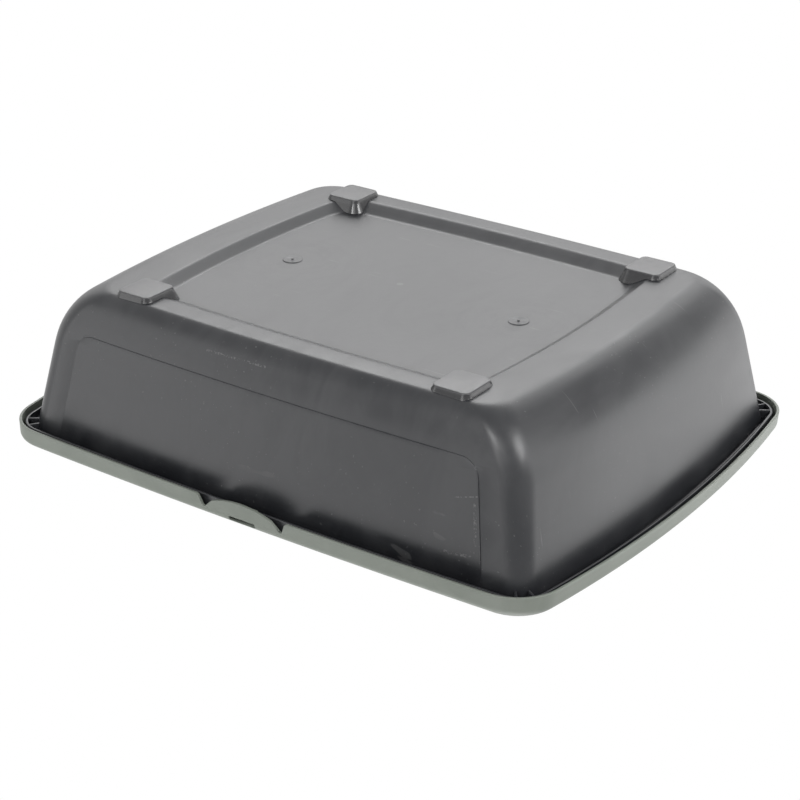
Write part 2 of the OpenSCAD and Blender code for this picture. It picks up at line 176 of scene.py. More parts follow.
class Bench:
    """The modelling steps that every piece shares, each a few of Blender's own operators."""

    @staticmethod
    def take(piece: bpy.types.Object) -> None:
        """Select one piece alone and make it the active one."""
        bpy.ops.object.select_all(action="DESELECT")
        piece.select_set(True)
        bpy.context.view_layer.objects.active = piece

    @staticmethod
    def begin(name: str) -> bpy.types.Object:
        """Start an empty piece and leave it in edit mode.

        Args:
            name: the piece's name.

        Returns:
            The new object.
        """
        bpy.ops.object.select_all(action="DESELECT")
        bpy.ops.mesh.primitive_circle_add(vertices=3, radius=SEED)
        piece = bpy.context.object
        piece.name = name
        piece.data.name = name
        Bench.edit(piece)
        bpy.ops.mesh.select_all(action="SELECT")
        bpy.ops.mesh.delete(type="VERT")
        return piece

    @staticmethod
    def edit(piece: bpy.types.Object, pick: Pick = Pick.POINTS) -> None:
        """Open a piece in edit mode with nothing selected."""
        Bench.take(piece)
        bpy.ops.object.mode_set(mode="EDIT")
        bpy.context.tool_settings.mesh_select_mode = pick.value
        bpy.ops.mesh.select_all(action="DESELECT")

    @staticmethod
    def close() -> None:
        """Leave edit mode."""
        bpy.ops.object.mode_set(mode="OBJECT")

    @staticmethod
    def seed(place: Vector) -> None:
        """Add one vertex, the start of a line that is drawn next."""
        bpy.ops.mesh.select_all(action="DESELECT")
        bpy.ops.mesh.primitive_circle_add(vertices=3, radius=SEED, location=place)
        bpy.ops.mesh.merge(type="CENTER")

    @staticmethod
    def arc(centre: Vector, angle: float, steps: int, axis: tuple[float, float, float]) -> None:
        """Carry the line on from its last vertex along an arc, anticlockwise about the axis."""
        bpy.ops.mesh.spin(steps=steps, angle=-angle, center=centre, axis=axis)

    @staticmethod
    def line(step: Vector) -> None:
        """Carry the line on from its last vertex by a straight step."""
        bpy.ops.mesh.extrude_region_move(TRANSFORM_OT_translate={"value": step})

    @staticmethod
    def modifier(piece: bpy.types.Object, kind: str, **settings: object) -> None:
        """Add a modifier to a piece, set it and apply it.

        Args:
            piece: the object that is changed.
            kind: the modifier's type.
            **settings: its properties.
        """
        Bench.take(piece)
        bpy.ops.object.modifier_add(type=kind)
        modifier = piece.modifiers[-1]
        for name, value in settings.items():
            setattr(modifier, name, value)
        bpy.ops.object.modifier_apply(modifier=modifier.name)

    @staticmethod
    def cut(piece: bpy.types.Object, tool: bpy.types.Object, operation: str = "DIFFERENCE") -> None:
        """Cut, join or intersect a piece with a tool and throw the tool away."""
        Bench.modifier(piece, "BOOLEAN", operation=operation, object=tool, solver="EXACT")
        bpy.data.objects.remove(tool, do_unlink=True)

    @staticmethod
    def heal(piece: bpy.types.Object) -> None:
        """Merge doubles, dissolve what has no area and turn the faces outwards."""
        Bench.edit(piece)
        bpy.ops.mesh.select_all(action="SELECT")
        bpy.ops.mesh.remove_doubles(threshold=WELD)
        bpy.ops.mesh.dissolve_degenerate(threshold=WELD)
        bpy.ops.mesh.select_all(action="SELECT")
        bpy.ops.mesh.normals_make_consistent(inside=False)
        Bench.close()

    @staticmethod
    def soften(piece: bpy.types.Object, radius: float, sharp: float,
               chosen: Callable[[bmesh.types.BMEdge, Vector], bool]) -> None:
        """Round the edges of a piece that are sharper than an angle and pass a test.

        Args:
            piece: the object that is changed.
            radius: how much is rounded, in millimetres.
            sharp: the angle, in degrees.
            chosen: the test, which takes the edge and its middle.
        """
        Bench.edit(piece, Pick.EDGES)
        for edge in bmesh.from_edit_mesh(piece.data).edges:
            middle = (edge.verts[0].co + edge.verts[1].co) / 2
            edge.select = (edge.is_manifold and edge.calc_face_angle() > math.radians(sharp)
                           and chosen(edge, middle))
        bmesh.update_edit_mesh(piece.data)
        bpy.ops.mesh.bevel(offset=radius * MM, segments=2, affect="EDGES", clamp_overlap=True)
        Bench.close()

    @staticmethod
    def smooth(piece: bpy.types.Object) -> None:
        """Shade a piece smoothly, but for its sharp edges."""
        Bench.take(piece)
        bpy.ops.object.shade_smooth_by_angle(angle=SHARP)

    @staticmethod
    def mirrored(piece: bpy.types.Object, name: str, along_x: bool, along_y: bool) -> bpy.types.Object:
        """Copy a piece, with its own mesh, to the other side of the middle.

        Args:
            piece: the object that is copied.
            name: the copy's name.
            along_x: whether the copy is a mirror image across the middle of the length.
            along_y: whether the copy is a mirror image across the middle of the width.

        Returns:
            The copy.
        """
        Bench.take(piece)
        bpy.ops.object.duplicate(linked=False)
        copy = bpy.context.object
        copy.name = name
        copy.data.name = name
        Bench.edit(copy)
        bpy.ops.mesh.select_all(action="SELECT")
        bpy.ops.transform.resize(value=(-1 if along_x else 1, -1 if along_y else 1, 1),
                                 center_override=(0, 0, 0))
        bpy.ops.mesh.normals_make_consistent(inside=False)
        Bench.close()
        return copy


class Ends(Enum):
    """How a skin drawn through outlines is closed."""

    CAPPED = "capped"
    LOOPED = "looped"


class Steps(Enum):
    """How finely a quarter of an outline is drawn: steps of the end, the corner and the long side."""

    FINE = (9, 14, 12)
    PLAIN = (5, 9, 6)


@dataclass
class Loft:
    """A skin drawn through outlines: a quarter is spun and bridged, then mirrored and closed.

    sections holds the outlines and their heights in order, ends says how the skin is closed, and
    middle is where the outlines' middle lies, in millimetres.
    """

    name: str
    sections: list[Section]
    ends: Ends = Ends.CAPPED
    steps: Steps = Steps.FINE
    middle: tuple[float, float] = (0.0, 0.0)

    def chain(self, outline: Outline, z: float) -> None:
        """Draw a quarter of an outline, from the middle of the end to the middle of the side."""
        corner, end_angle, side_angle = outline.corner()
        end_steps, corner_steps, side_steps = self.steps.value
        up = (0, 0, 1)
        Bench.seed(Vector((outline.half_l, 0, z)) * MM)
        Bench.arc(Vector((outline.half_l - outline.end_r, 0, z)) * MM, end_angle, end_steps, up)
        Bench.arc(Vector((corner.x, corner.y, z)) * MM, side_angle - end_angle, corner_steps, up)
        Bench.arc(Vector((0, outline.half_w - outline.side_r, z)) * MM, math.pi / 2 - side_angle,
                  side_steps, up)

    def build(self) -> bpy.types.Object:
        """Draw every outline, bridge neighbours, mirror the quarter and close the skin.

        Returns:
            The finished object, with its faces outwards.
        """
        piece = Bench.begin(self.name)
        for number, (outline, z) in enumerate(self.sections, start=1):
            self.chain(outline, z)
            mesh = bmesh.from_edit_mesh(piece.data)
            tag = mesh.verts.layers.int.get("ring") or mesh.verts.layers.int.new("ring")
            for vertex in mesh.verts:
                vertex[tag] = vertex[tag] or number
        self.bridge(piece)
        Bench.close()
        Bench.modifier(piece, "MIRROR", use_axis=(True, True, False), merge_threshold=WELD)
        self.finish(piece)
        return piece

    def bridge(self, piece: bpy.types.Object) -> None:
        """Bridge each outline to the next, and the last to the first where the skin is a loop."""
        count = len(self.sections)
        pairs = [(k, k + 1) for k in range(1, count)]
        if self.ends is Ends.LOOPED:
            pairs.append((count, 1))
        bpy.context.tool_settings.mesh_select_mode = Pick.EDGES.value
        for pair in pairs:
            bpy.ops.mesh.select_all(action="DESELECT")
            mesh = bmesh.from_edit_mesh(piece.data)
            tag = mesh.verts.layers.int["ring"]
            for edge in mesh.edges:
                first, second = (vertex[tag] for vertex in edge.verts)
                edge.select = first == second and first in pair
            bmesh.update_edit_mesh(piece.data)
            bpy.ops.mesh.bridge_edge_loops()

    def finish(self, piece: bpy.types.Object) -> None:
        """Weld the quarters, cap open ends, move the skin to its middle and turn its faces out."""
        Bench.edit(piece, Pick.EDGES)
        bpy.ops.mesh.select_all(action="SELECT")
        bpy.ops.mesh.remove_doubles(threshold=WELD)
        if self.ends is Ends.CAPPED:
            for z in (self.sections[0][1], self.sections[-1][1]):
                self.cap(piece, z * MM)
        bpy.ops.mesh.select_all(action="SELECT")
        bpy.ops.transform.translate(value=(self.middle[0] * MM, self.middle[1] * MM, 0))
        bpy.ops.mesh.normals_make_consistent(inside=False)
        Bench.close()
        piece.data.attributes.remove(piece.data.attributes["ring"])

    @staticmethod
    def cap(piece: bpy.types.Object, z: float) -> None:
        """Close the open loop at a height with one face."""
        bpy.ops.mesh.select_all(action="DESELECT")
        mesh = bmesh.from_edit_mesh(piece.data)
        for edge in mesh.edges:
            level = all(abs(vertex.co.z - z) < WELD for vertex in edge.verts)
            edge.select = level and edge.is_boundary
        bmesh.update_edit_mesh(piece.data)
        bpy.ops.mesh.edge_face_add()


@dataclass
class Turned:
    """A solid of revolution about an upright axis, in millimetres.

    profile holds the radii and the depths below height z, from the axis outwards, and middle is where
    the axis stands.
    """

    name: str
    profile: tuple[tuple[float, float], ...]
    middle: tuple[float, float]
    z: float
    steps: int = 48

    def build(self) -> bpy.types.Object:
        """Draw the profile from the axis and back to it, and spin it full circle.

        Returns:
            The closed solid.
        """
        x, y = self.middle
        piece = Bench.begin(self.name)
        points = ((0.0, self.profile[0][1]), *self.profile, (0.0, self.profile[-1][1]))
        Bench.seed(Vector((x, y, self.z - points[0][1])) * MM)
        for (from_r, from_h), (to_r, to_h) in zip(points, points[1:]):
            Bench.line(Vector((to_r - from_r, 0, from_h - to_h)) * MM)
        bpy.ops.mesh.select_all(action="SELECT")
        Bench.arc(Vector((x, y, 0)) * MM, math.tau, self.steps, (0, 0, 1))
        Bench.close()
        Bench.heal(piece)
        Bench.smooth(piece)
        return piece


@dataclass
class FrontDrawing:
    """An outline drawn in the front view, mirrored about the middle and pushed through a wall.

    start is the first point, and strokes holds, in order, either a straight step (x, z) or an arc as
    (centre x, centre z, turn in radians, steps), all in millimetres.
    """

    name: str
    start: tuple[float, float]
    strokes: list[tuple[float, ...]]
    near: float
    far: float

    def build(self) -> bpy.types.Object:
        """Draw the right half, mirror it, fill it and push it from near to far.

        Returns:
            The closed prism.
        """
        piece = Bench.begin(self.name)
        Bench.seed(Vector((self.start[0], self.near, self.start[1])) * MM)
        for stroke in self.strokes:
            if len(stroke) == 2:
                Bench.line(Vector((stroke[0], 0, stroke[1])) * MM)
            else:
                x, z, turn, steps = stroke
                Bench.arc(Vector((x, self.near, z)) * MM, turn, int(steps), (0, -1, 0))
        Bench.close()
        Bench.modifier(piece, "MIRROR", use_axis=(True, False, False), merge_threshold=WELD)
        Bench.edit(piece)
        bpy.ops.mesh.select_all(action="SELECT")
        bpy.ops.mesh.remove_doubles(threshold=WELD)
        bpy.ops.mesh.edge_face_add()
        Bench.line(Vector((0, self.far - self.near, 0)) * MM)
        bpy.ops.mesh.select_all(action="SELECT")
        bpy.ops.mesh.normals_make_consistent(inside=False)
        Bench.close()
        return piece


@dataclass
class Tray:
    """The black moulding: recessed floor, bearing ridge, bowed walls, flange and turned-down lip."""

    length: float = 432.6
    width: float = 334.8
    flange_top: float = 114.1
    wall_t: float = 2.2
    floor_t: float = 2.2
    end_draft: float = 11.3
    side_draft: float = 10.2
    end_turn: tuple[float, float] = (30.0, 42.7)
    side_turn: tuple[float, float] = (14.5, 32.8)
    corner_rs: tuple[float, float] = (19.0, 16.0)
    end_bows: tuple[float, float] = (10.0, 12.4)
    side_bows: tuple[float, float] = (5.3, 6.0)
    ridge_h: float = 3.6
    ridge_ws: tuple[float, float] = (22.7, 12.4)
    recess_depth: float = 5.8
    slopes: tuple[float, float] = (11.0, 16.0)
    recess_rs: tuple[float, float] = (20.0, 25.5)
    flange_t: float = 2.2
    lip_reaches: tuple[float, float] = (8.7, 6.2)
    lip_h: float = 10.1
    lip_t: float = 1.8
    lip_r: float = 23.0
    lip_bows: tuple[float, float] = (15.0, 5.4)
    lip_edge_r: float = 0.5
    flange_round: float = 3.4
    flange_fillet: float = 1.6
    mouth_edge_r: float = 0.8
    gate_spacing: float = 190.0
    gate_profile: tuple[tuple[float, float], ...] = (
        (0.5, 0.85), (0.9, 0.6), (1.1, 0.2), (1.6, 0.05), (2.6, 0.05), (3.9, 0.2), (5.2, 0.42), (6.2, 0.55),
        (6.7, 0.52), (7.05, 0.36), (7.2, 0.1), (7.25, -0.4))
    panel_margin: float = 38.1
    panel_low: float = 30.9
    panel_lean: float = 9.6
    panel_r: float = 14.0
    panel_rise: float = 0.8
    panel_edge_r: float = 0.5
    panel_sharp: float = 45.0
    rib_t: float = 1.6
    rib_rise: float = 0.3
    rib_sink: float = 1.0
    rib_edge_r: float = 0.35
    rib_angles: tuple[float, float] = (32.0, 61.0)
    slope_soft: float = 0.24
    slope_steps: int = 5
    turn_steps: int = 16
    wall_steps: int = 4
    round_steps: int = 6
    edge_steps: int = 2

    def __post_init__(self) -> None:
        """Work out the heights and the outlines that other pieces seat on."""
        self.flange_under = self.flange_top - self.flange_t
        self.recess_h = self.ridge_h + self.recess_depth
        self.lip_edge = self.flange_top - self.lip_h
        self.lip = Outline.bowed(self.length + 2 * self.lip_reaches[0],
                                 self.width + 2 * self.lip_reaches[1], *self.lip_bows, self.lip_r)
        ground = self.wall(self.ridge_h)
        recess_l = 2 * (ground.half_l - self.ridge_ws[0] - self.slopes[0])
        recess_w = 2 * (ground.half_w - self.ridge_ws[1] - self.slopes[1])
        self.ground = ground
        self.recess_floor = Outline.bowed(recess_l, recess_w, self.end_bows[0] * recess_w / self.width,
                                          self.side_bows[0] * recess_l / self.length, self.recess_rs[0])
        floor = self.recess_floor
        self.recess_edge = Outline(floor.half_l + self.slopes[0], floor.half_w + self.slopes[1],
                                   floor.end_r + self.slopes[1], floor.side_r + self.slopes[0],
                                   self.recess_rs[1])

    def wall(self, z: float, skin: float = 0.0, base: float | None = None) -> Outline:
        """Return the wall's outline at a height.

        Args:
            z: the height.
            skin: 0 on the outside, and the wall's thickness on the inside.
            base: the height that the turn from the floor stands on, or None for the ridge's.

        Returns:
            The outline at that height.
        """
        base = self.ridge_h if base is None else base
        share = (z - self.ridge_h) / (self.flange_under - self.ridge_h)
        half_l = self.length / 2 - (self.flange_under - z) * math.tan(math.radians(self.end_draft))
        half_w = self.width / 2 - (self.flange_under - z) * math.tan(math.radians(self.side_draft))
        plan = Outline.bowed(2 * half_l, 2 * half_w, mix(*self.end_bows, share),
                             mix(*self.side_bows, share), mix(*self.corner_rs, share))
        return plan.inset(skin).drawn_in(
            turn_in(z, base, self.end_turn[0] - skin, self.end_turn[1] - skin),
            turn_in(z, base, self.side_turn[0] - skin, self.side_turn[1] - skin))

    def turn_heights(self, base: float, skin: float) -> list[float]:
        """Return the heights of the outlines round the turn from the floor into the wall."""
        height = max(self.end_turn[1], self.side_turn[1]) - skin
        return [base + height * (1 - math.cos(angle)) for angle in quarter_angles(self.turn_steps)]

    def slope_fall(self, share: float) -> float:
        """Return how far down the slope is at a share of its run: straight, with both ends rounded."""
        soft = self.slope_soft
        near = min(share, 1 - share)
        fall = near ** 2 / (2 * soft * (1 - soft)) if near < soft else (near - soft / 2) / (1 - soft)
        return fall if share < 0.5 else 1 - fall

    def slope_sections(self, lift: float) -> list[Section]:
        """Return the outlines down the slope from the recessed floor to the ridge, raised by lift."""
        soft = [self.slope_soft * share for share in shares(self.slope_steps)]
        return [(self.recess_floor.mixed(self.recess_edge, share),
                 self.recess_h - self.recess_depth * self.slope_fall(share) + lift)
                for share in soft + [0.5] + [1 - share for share in soft[::-1]]]

    def outer_sections(self) -> list[Section]:
        """Return the outlines of the outside, from the recessed floor to the flange's top."""
        fillet = self.flange_fillet
        base = self.wall(self.flange_under - fillet)
        lip_in = self.lip.inset(self.lip_t)
        edge = self.lip_edge_r
        wall_heights = [mix(self.turn_heights(self.ridge_h, 0)[-1], self.flange_under - fillet, share)
                        for share in shares(self.wall_steps)[1:-1]]
        return (
            self.slope_sections(0)
            + [(self.wall(z), z) for z in self.turn_heights(self.ridge_h, 0)]
            + [(self.wall(z), z) for z in wall_heights]
            + rounded(base, self.flange_under, -fillet, -fillet, self.round_steps, False)
            + rounded(lip_in, self.flange_under, edge, -edge, self.edge_steps, True)
            + rounded(lip_in, self.lip_edge, -edge, edge, self.edge_steps, False)
            + rounded(self.lip, self.lip_edge, edge, edge, self.edge_steps, True)
            + rounded(self.lip, self.flange_top, self.flange_round, -self.flange_round,
                      self.round_steps, False))

    def inner_sections(self) -> list[Section]:
        """Return the outlines of the inside, from the flange's top down to the floor."""
        base = self.ridge_h + self.floor_t
        edge = self.mouth_edge_r
        top = self.wall(self.flange_top - edge, self.wall_t, base)
        turn = [(self.wall(z, self.wall_t, base), z) for z in self.turn_heights(base, self.wall_t)]
        return (
            rounded(top, self.flange_top, -edge, -edge, self.edge_steps + 1, True)
            + turn[::-1]
            + self.slope_sections(self.floor_t)[::-1])

    def shell(self) -> bpy.types.Object:
        """Build the moulding's skin, with its raised panel."""
        tray = Loft("tray_shell", self.outer_sections() + self.inner_sections()).build()
        Bench.cut(tray, self.panel(), "UNION")
        Bench.heal(tray)
        self.soften_panel(tray)
        Bench.smooth(tray)
        return tray

    def panel(self) -> bpy.types.Object:
        """Build the shallow raised panel of the front wall, sunk halfway into the wall."""
        low_z = self.panel_low
        top_z = self.flange_under - self.flange_fillet - self.panel_rise
        lean = math.radians(self.panel_lean)
        end_line = self.length / 2 - (self.flange_under - low_z) * math.tan(math.radians(self.end_draft))
        low_x = end_line - self.panel_margin
        round_x = self.panel_r * math.tan((math.pi / 2 - lean) / 2)
        arc_rise = self.panel_r * (1 + math.sin(lean))
        side_z = top_z - low_z - arc_rise
        drawing = FrontDrawing(
            "panel_outline", (0, low_z),
            [(low_x - round_x, 0),
             (low_x - round_x, low_z + self.panel_r, math.pi / 2 - lean, 12),
             (side_z * math.tan(lean), side_z),
             (-(low_x - round_x + self.panel_r * math.cos(lean) + side_z * math.tan(lean)), 0)],
            -self.width / 4, -self.width)
        prism = drawing.build()
        heights = self.turn_heights(self.ridge_h, 0)[3:] + [self.flange_under]
        skin = Loft("panel_skin",
                    [(self.wall(z).inset(self.wall_t / 2), z) for z in heights]
                    + [(self.wall(z).inset(-self.panel_rise), z) for z in heights[::-1]],
                    Ends.LOOPED).build()
        Bench.cut(skin, prism, "INTERSECT")
        return skin

    def soften_panel(self, tray: bpy.types.Object) -> None:
        """Round the edges of the panel's step a little."""
        def on_panel(edge: bmesh.types.BMEdge, middle: Vector) -> bool:
            """Tell whether an edge lies where the panel stands out of the front wall."""
            on_wall = middle.y < -self.width / 3 * MM and abs(middle.x) < self.length / 2.2 * MM
            inside = (self.panel_low - 1) * MM < middle.z < (self.flange_under - self.flange_fillet) * MM
            return on_wall and inside

        Bench.soften(tray, self.panel_edge_r, self.panel_sharp, on_panel)

    def gate_mark(self, side: int) -> bpy.types.Object:
        """Turn a gate mark: a low disc under the floor, dished round the broken-off stub of plastic."""
        name = f"gate_mark_{'left' if side < 0 else 'right'}"
        return Turned(name, self.gate_profile, (side * self.gate_spacing / 2, 0.0), self.recess_h).build()

    def ribs(self) -> bpy.types.Object:
        """Build the stiffening ribs across the corner channels, all as one piece."""
        low = self.lip_edge + self.rib_rise
        top = self.flange_under + self.rib_sink
        wall = self.wall(low)
        wall_c = wall.corner()[0]
        lip_c = self.lip.corner()[0]
        ribs = Bench.begin("tray_ribs")
        for angle in self.rib_angles:
            way = Vector((math.cos(math.radians(angle)), math.sin(math.radians(angle))))
            start = wall_c + way * (wall.corner_r - self.rib_t / 2)
            end = lip_c + way * (self.lip_r - self.lip_t / 2)
            run = end - start
            middle = (start + end) / 2
            bpy.ops.mesh.select_all(action="DESELECT")
            bpy.ops.mesh.primitive_cube_add(
                size=MM, location=(middle.x * MM, middle.y * MM, (low + top) / 2 * MM),
                rotation=(0, 0, math.atan2(run.y, run.x)), scale=(run.length, self.rib_t, top - low))
        bpy.ops.mesh.select_all(action="SELECT")
        bpy.ops.mesh.bevel(offset=self.rib_edge_r * MM, segments=2, affect="EDGES")
        Bench.close()
        Bench.modifier(ribs, "MIRROR", use_axis=(True, True, False), use_mirror_merge=False)
        Bench.heal(ribs)
        Bench.smooth(ribs)
        return ribs

    def build(self) -> list[bpy.types.Object]:
        """Build the moulding's pieces; the first is the shell that stands for the tray's node."""
        return [self.shell(), self.ribs(), self.gate_mark(-1), self.gate_mark(1)]


@dataclass
class Rim:
    """The grey-green moulding that clips over the tray's lip, with a flexing tab at front and rear."""

    tray: Tray
    skirt_reaches: tuple[float, float] = (6.2, 5.7)
    band_h: float = 8.7
    edge_h: float = 6.0
    edge_w: float = 6.0
    crown_share: float = 0.25
    crown_rise: float = 0.4
    rim_t: float = 2.0
    rim_r: float = 34.6
    band_r: float = 29.8
    rim_bows: tuple[float, float] = (16.8, 4.9)
    band_tapers: tuple[float, float] = (1.3, 1.1)
    brim_ws: tuple[float, float] = (52.2, 45.3)
    mouth_r: float = 46.0
    mouth_bows: tuple[float, float] = (8.0, 4.0)
    mouth_fall: float = 4.5
    mouth_drop: float = 7.0
    mouth_round: float = 3.0
    mouth_back_drop: float = 1.2
    edge_r: float = 0.5
    notch_x: float = 31.6
    notch_depth: float = 8.3
    notch_r: float = 1.8
    notch_in: float = 7.0
    notch_out: float = 4.6
    shoulder_r: float = 3.0
    crest_drop: float = 2.7
    crest_r: float = 66.0
    crest_corner_r: float = 5.0
    window_w: float = 21.4
    window_h: float = 3.2
    window_r: float = 0.6
    window_rise: float = 0.6
    hook_h: float = 3.2
    seat_gap: float = 0.3
    hook_gap: float = 0.4
    cut_edge_r: float = 0.25
    cut_sharp: float = 50.0
    overcut: float = 12.0
    band_steps: int = 3
    edge_steps: int = 2
    round_steps: int = 8
    top_steps: int = 12

    def __post_init__(self) -> None:
        """Work out the heights and the outlines from the tray's lip."""
        tray = self.tray
        self.crown_z = tray.flange_top + self.seat_gap + self.rim_t + self.crown_rise
        self.band_top = self.crown_z - self.crown_rise - self.edge_h
        self.skirt_edge = self.band_top - self.band_h
        self.root_z = self.skirt_edge + self.notch_depth
        self.crest_z = self.skirt_edge - self.crest_drop
        self.mouth_z = self.crown_z - self.mouth_fall
        rim_l = 2 * (tray.lip.half_l + self.skirt_reaches[0])
        rim_w = 2 * (tray.lip.half_w + self.skirt_reaches[1])
        self.front = rim_w / 2
        self.skirt = Outline.bowed(rim_l, rim_w, *self.rim_bows, self.rim_r)
        skirt = self.skirt
        self.band = Outline(skirt.half_l - self.band_tapers[0], skirt.half_w - self.band_tapers[1],
                            skirt.end_r, skirt.side_r, self.band_r)
        self.mouth = Outline.bowed(rim_l - 2 * self.brim_ws[0], rim_w - 2 * self.brim_ws[1],
                                   *self.mouth_bows, self.mouth_r)

    def brim(self, share: float) -> Outline:
        """Return the top's outline at a share of the way from the rounded edge to the mouth."""
        return self.band.inset(self.edge_w).mixed(self.mouth.inset(-self.mouth_round), share)

    def brim_z(self, share: float) -> float:
        """Return the top's height at a share of the way from the rounded edge to the mouth."""
        crown = self.crown_share
        rise = (1 - min(1.0, share / crown)) ** 2
        fall = max(0.0, (share - crown) / (1 - crown)) ** 2
        return self.crown_z - self.crown_rise * rise - (self.mouth_fall - self.mouth_round) * fall

    def on_band(self, z: float) -> Outline:
        """Return the skirt's outline at a height on its plain band, or carried on below it."""
        return self.skirt.mixed(self.band, (z - self.skirt_edge) / self.band_h)

    def band_sections(self, low: float, high: float) -> list[Section]:
        """Return the loop of outlines round a stretch of the band, with a rounded lower edge."""
        edge = self.edge_r
        steps = self.band_steps
        start = self.on_band(low + edge)
        levels = [mix(high, low + edge, share) for share in shares(steps)]
        return (
            [(self.on_band(z), z) for z in levels]
            + rounded(start, low, edge, edge, steps, False)[1:]
            + rounded(start.inset(self.rim_t), low, -edge, edge, steps, True)
            + [(self.on_band(z).inset(self.rim_t), z) for z in levels[-2::-1]])

    def sections(self) -> list[Section]:
        """Return the loop of outlines round the whole rim, up the inside and down the outside."""
        low_mouth = self.mouth_z - self.mouth_drop
        edge = self.edge_r
        turn = self.mouth_round
        back = self.mouth.inset(-self.rim_t)
        inner_w, inner_h = self.edge_w - self.rim_t, self.edge_h - self.rim_t
        return (
            self.band_sections(self.skirt_edge, self.band_top)
            + rounded(self.band.inset(self.rim_t), self.band_top + inner_h, inner_w, -inner_h,
                      self.round_steps, False)[1:]
            + [(self.brim(share), self.brim_z(share) - self.rim_t) for share in shares(self.top_steps)[1:]]
            + [(back, self.mouth_z - self.mouth_back_drop)]
            + rounded(back, low_mouth, edge, edge, self.edge_steps, False)
            + rounded(self.mouth, low_mouth, -edge, edge, self.edge_steps, True)
            + rounded(self.mouth, self.mouth_z + turn, -turn, -turn, self.round_steps, False)
            + [(self.brim(share), self.brim_z(share)) for share in shares(self.top_steps)[-2::-1]]
            + rounded(self.band, self.band_top + self.edge_h, self.edge_w, -self.edge_h,
                      self.round_steps + 2, False)[-2:0:-1])

    def notch_turns(self) -> tuple[float, float]:
        """Return the leans of a notch's inner and outer walls, in radians from upright."""
        clip_end = self.notch_x - self.notch_in
        clip_end_z = self.crest_z + self.crest_r - math.sqrt(self.crest_r ** 2 - clip_end ** 2)
        bottom_z = self.root_z - self.notch_r
        return (self.wall_lean(self.notch_in, bottom_z - clip_end_z),
                self.wall_lean(self.notch_out, bottom_z - self.skirt_edge))

    def wall_lean(self, reach: float, height: float) -> float:
        """Return the lean of a line that runs off the notch's round bottom, past a reach at a height."""
        return math.atan2(reach, height) - math.asin(self.notch_r / math.hypot(reach, height))

    def notch_tool(self) -> bpy.types.Object:
        """Build the cutter that opens both notches, and the space between them for the tab."""
        lean = self.notch_turns()[1]
        radius, shoulder = self.notch_r, self.shoulder_r
        bottom_z = self.root_z - radius
        wall_x = self.notch_x + radius * math.cos(lean)
        wall_z = bottom_z + radius * math.sin(lean)
        shoulder_z = self.skirt_edge + shoulder
        run = (wall_z - (shoulder_z - shoulder * math.sin(lean))) / math.cos(lean)
        shoulder_x = wall_x + run * math.sin(lean) + shoulder * math.cos(lean)
        return FrontDrawing(
            "notch_tool", (0, self.root_z),
            [(self.notch_x, 0),
             (self.notch_x, bottom_z, lean - math.pi / 2, 10),
             (run * math.sin(lean), -run * math.cos(lean)),
             (shoulder_x, shoulder_z, math.pi / 2 - lean, 8),
             (0, -self.overcut),
             (-shoulder_x, 0)],
            -self.front + self.overcut, -self.front - self.overcut).build()

    def tab_tool(self) -> bpy.types.Object:
        """Build the prism that keeps the tab: a curved crest, rounded into the notches' inner walls."""
        lean = self.notch_turns()[0]
        radius, corner = self.notch_r, self.crest_corner_r
        bottom_z = self.root_z - radius
        wall = Vector((self.notch_x - radius * math.cos(lean), bottom_z + radius * math.sin(lean)))
        way = Vector((math.sin(lean), math.cos(lean)))
        crest_c = Vector((0, self.crest_z + self.crest_r))
        inward = wall + Vector((-way.y, way.x)) * corner - crest_c
        along = inward.dot(way)
        run = along + math.sqrt(along ** 2 - inward.length_squared + (self.crest_r - corner) ** 2)
        corner_c = crest_c + inward - way * run
        crest_turn = math.atan2(corner_c.x, crest_c.y - corner_c.y)
        return FrontDrawing(
            "tab_tool", (0, self.crest_z),
            [(0, crest_c.y, crest_turn, 14),
             (corner_c.x, corner_c.y, math.pi / 2 - lean - crest_turn, 10),
             tuple(way * run),
             (self.notch_x, bottom_z, lean - math.pi / 2, 8),
             (-self.notch_x, 0)],
            -self.front + self.overcut, -self.front - self.overcut).build()

    def window_tool(self) -> bpy.types.Object:
        """Build the cutter for the window above the hook, with rounded corners."""
        radius = self.window_r
        low = self.root_z + self.window_rise
        half = self.window_w / 2
        quarter = math.pi / 2
        return FrontDrawing(
            "window_tool", (0, low),
            [(half - radius, 0),
             (half - radius, low + radius, quarter, 4),
             (0, self.window_h - 2 * radius),
             (half - radius, low + self.window_h - radius, quarter, 4),
             (radius - half, 0)],
            -self.front + self.edge_w, -self.front - self.overcut).build()

    def main(self) -> bpy.types.Object:
        """Build the rim without its tabs."""
        rim = Loft("rim_frame", self.sections(), Ends.LOOPED).build()
        for make in (self.notch_tool, self.window_tool):
            tool = make()
            Bench.cut(rim, Bench.mirrored(tool, tool.name + "_rear", False, True))
            Bench.cut(rim, tool)
        Bench.heal(rim)
        self.soften_cuts(rim)
        Bench.smooth(rim)
        return rim

    def soften_cuts(self, piece: bpy.types.Object) -> None:
        """Round the edges of the notches, the window and the tab, but not the tab's root."""
        def at_cut(edge: bmesh.types.BMEdge, middle: Vector) -> bool:
            """Tell whether an edge lies at the notches or the tab, and off its root."""
            near = abs(middle.x) < 2 * self.notch_x * MM and abs(middle.y) > (self.front - self.edge_w) * MM
            return near and not all(abs(vertex.co.z - self.root_z * MM) < WELD for vertex in edge.verts)

        Bench.soften(piece, self.cut_edge_r, self.cut_sharp, at_cut)

    def tab(self) -> bpy.types.Object:
        """Build the front tab with the hook on its inner face."""
        tab = Loft("front_tab", self.band_sections(self.crest_z - 2 * self.crest_drop, self.band_top),
                   Ends.LOOPED, Steps.PLAIN).build()
        Bench.cut(tab, self.tab_tool(), "INTERSECT")
        Bench.cut(tab, self.hook(), "UNION")
        Bench.heal(tab)
        self.soften_cuts(tab)
        Bench.smooth(tab)
        return tab

